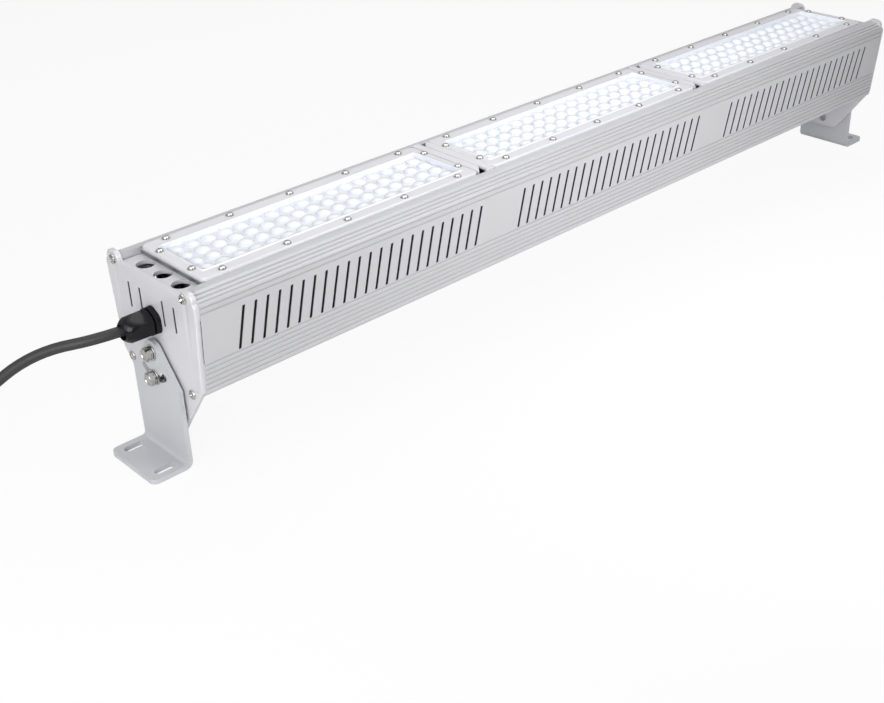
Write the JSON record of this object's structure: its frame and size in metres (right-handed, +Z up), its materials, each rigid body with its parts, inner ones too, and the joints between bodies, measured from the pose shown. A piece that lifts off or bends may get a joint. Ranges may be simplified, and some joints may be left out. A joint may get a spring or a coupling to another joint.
{
  "type": "linear led light fixture",
  "caption": "Long extruded housing with vent slots and finned light modules under lens panels, on two tilting folded feet, with a cable gland and mains lead",
  "frame": {"origin": "middle of the fixture, on the surface under the two feet", "axes": "+X along the fixture away from the mains lead, +Y across it, +Z up out of the lens panels"},
  "size_m": [1.2291, 0.1676, 0.1574],
  "materials": {
    "rail_paint": "satin silver-grey finish on an extruded rail",
    "cap_paint": "satin silver-grey powder coat on a cast cap",
    "bridge_paint": "satin silver-grey",
    "bracket_plate": "satin grey coated steel plate",
    "zinc_fasteners": "bright zinc-plated steel",
    "tray_sheet": "mill-finish folded sheet",
    "sink_aluminium": "plain aluminium",
    "board_laminate": "white solder mask",
    "seal_rubber": "black rubber",
    "lens_plastic": "clear moulded lens over a white board",
    "driver_metal": "plain metal case",
    "terminal_plastic": "off-white moulding",
    "gland_plastic": "black nylon",
    "lead_jacket": "black jacket",
    "tie_plastic": "black strap",
    "core_insulation": "coloured core insulation"
  },
  "bodies": {
    "near_foot": {"near_bracket": "bracket_plate"},
    "far_foot": {"far_bracket": "bracket_plate"},
    "housing": {"front_rail": "rail_paint", "rear_rail": "rail_paint", "near_end_cap": "cap_paint", "far_end_cap": "cap_paint", "cap_screws": "zinc_fasteners", "bottom_tray": "tray_sheet", "module_bridges": "bridge_paint", "bracket_spacers": "zinc_fasteners", "bracket_flat_washers": "zinc_fasteners", "bracket_spring_washers": "zinc_fasteners", "pivot_screws": "zinc_fasteners", "lock_screws": "zinc_fasteners", "driver_case": "driver_metal", "driver_end_plates": "driver_metal", "terminal_block": "terminal_plastic", "gland_body": "gland_plastic", "gland_lock_nut": "gland_plastic", "gland_seal": "seal_rubber", "gland_dome_nut": "gland_plastic", "mains_lead": "lead_jacket", "lead_coil": "lead_jacket", "coil_tie": "tie_plastic", "lead_tail": "lead_jacket", "lead_cores": "core_insulation", "heat_sink_1": "sink_aluminium", "led_board_1": "board_laminate", "lens_gasket_1": "seal_rubber", "lens_panel_1": "lens_plastic", "heat_sink_2": "sink_aluminium", "led_board_2": "board_laminate", "lens_gasket_2": "seal_rubber", "lens_panel_2": "lens_plastic", "heat_sink_3": "sink_aluminium", "led_board_3": "board_laminate", "lens_gasket_3": "seal_rubber", "lens_panel_3": "lens_plastic"}
  },
  "joints": [
    {"name": "near_tilt", "type": "hinge", "parent": "housing", "child": "near_foot", "pos_m": [-0.4572, 0, 0.0911], "axis": [1, 0, 0], "range_deg": [-35, 35]},
    {"name": "far_tilt", "type": "hinge", "parent": "housing", "child": "far_foot", "pos_m": [0.4572, 0, 0.0911], "axis": [1, 0, 0], "range_deg": [-35, 35]}
  ]
}
